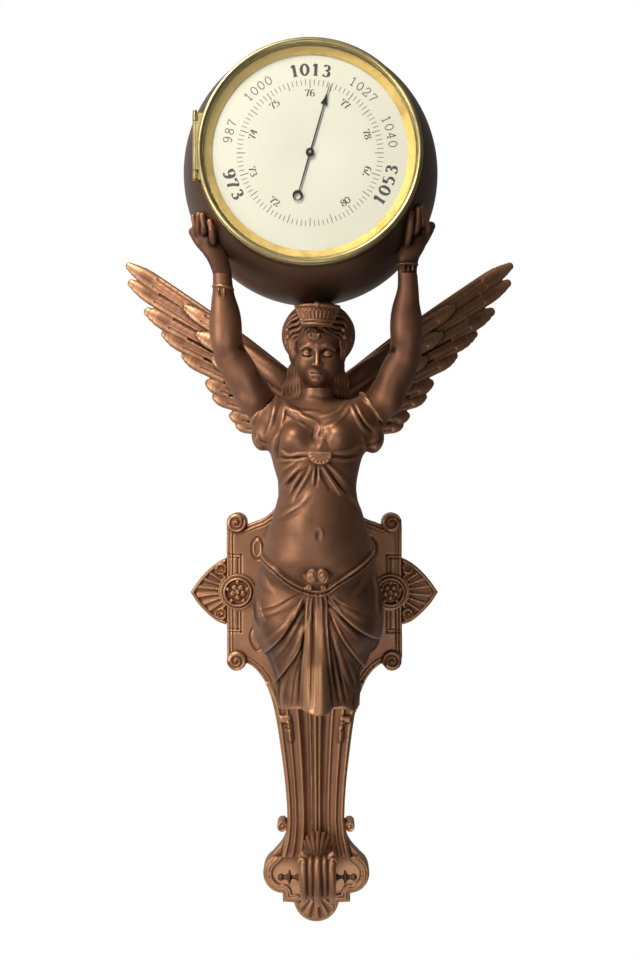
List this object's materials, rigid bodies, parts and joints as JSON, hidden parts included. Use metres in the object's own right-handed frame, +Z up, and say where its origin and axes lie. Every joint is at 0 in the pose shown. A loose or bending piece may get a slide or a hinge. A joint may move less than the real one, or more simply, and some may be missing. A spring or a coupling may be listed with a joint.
{
  "type": "wall barometer",
  "caption": "Aneroid barometer in a globe case with a hinged bezel, held overhead by a winged bronze figure on a wall console.",
  "frame": {"origin": "on the wall plane, midway between the two wall screws behind the rosettes", "axes": "+Z up, +Y into the wall, +X to the viewer's right"},
  "size_m": [0.3134, 0.159, 0.6724],
  "materials": {
    "bronze": "brown patinated bronze, rubbed on the high places",
    "case_bronze": "smooth dark brown lacquered bronze",
    "brass": "polished, lightly toned",
    "steel": "machined",
    "blued_steel": "blued, nearly black",
    "dial_card": "matt cream enamel paint with black printing",
    "glass": "clear"
  },
  "bodies": {
    "console": {"case_shell": "case_bronze", "mounting_ring": "brass", "hinge_pin": "brass", "dial_backplate": "steel", "dial": "dial_card", "sight_ring": "brass", "movement_base": "brass", "vacuum_capsule": "steel", "capsule_post": "steel", "spring_bridge": "brass", "mainspring": "blued_steel", "left_cock": "brass", "right_cock": "brass", "hairspring": "blued_steel", "arbor_cock": "brass", "movement_pillar_1": "brass", "movement_pillar_2": "brass", "movement_pillar_3": "brass", "case_stud": "steel", "case_nut": "brass", "figure_torso": "bronze", "back_bracket": "bronze", "bracket_bolt": "steel", "figure_skirt": "bronze", "skirt_bolt": "steel", "figure_head": "bronze", "left_arm": "bronze", "right_arm": "bronze", "left_hand": "bronze", "right_hand": "bronze", "left_wing": "bronze", "right_wing": "bronze", "left_palmette": "bronze", "right_palmette": "bronze", "left_rosette": "bronze", "right_rosette": "bronze", "left_wall_screw": "steel", "right_wall_screw": "steel", "console_plate": "bronze", "claw_scroll": "bronze", "claw_bolt": "steel", "left_finial": "bronze", "right_finial": "bronze"},
    "bezel_door": {"bezel": "brass", "glass": "glass", "glass_retaining_ring": "brass"},
    "needle_set": {"needle": "blued_steel", "needle_hub": "blued_steel", "arbor": "brass"},
    "lever": {"main_lever": "steel"},
    "rocker": {"rocking_shaft": "steel"},
    "pull_chain": {"chain": "steel"},
    "adjuster": {"adjusting_screw": "brass"}
  },
  "joints": [
    {"name": "bezel_hinge", "type": "hinge", "parent": "console", "child": "bezel_door", "pos_m": [-0.0795, -0.15015, 0.31], "axis": [0, 0, -1], "range_deg": [0, 105]},
    {"name": "needle_turn", "type": "hinge", "parent": "console", "child": "needle_set", "pos_m": [-0.002, -0.15, 0.3106], "axis": [0, 1, 0], "range_deg": [-160, 128]},
    {"name": "main_lever_swing", "type": "hinge", "parent": "console", "child": "lever", "pos_m": [-0.002, -0.1342, 0.3466], "axis": [1, 0, 0], "range_deg": [-0.4, 0.32]},
    {"name": "rocking_shaft_turn", "type": "hinge", "parent": "console", "child": "rocker", "pos_m": [-0.002, -0.133, 0.2776], "axis": [1, 0, 0], "range_deg": [-31.2, 24.96]},
    {"name": "chain_pull", "type": "slide", "parent": "console", "child": "pull_chain", "axis": [0, 0, 1], "range_m": [-0.00358, 0.00447]},
    {"name": "adjusting_screw_turn", "type": "hinge", "parent": "console", "child": "adjuster", "pos_m": [-0.002, -0.114, 0.3106], "axis": [0, 1, 0], "range_deg": [-720, 720]}
  ],
  "couplings": [
    {"joint": "main_lever_swing", "follows": "needle_turn", "ratio": 0.0025},
    {"joint": "rocking_shaft_turn", "follows": "needle_turn", "ratio": 0.195},
    {"joint": "chain_pull", "follows": "needle_turn", "m_per_rad": -0.0016}
  ]
}
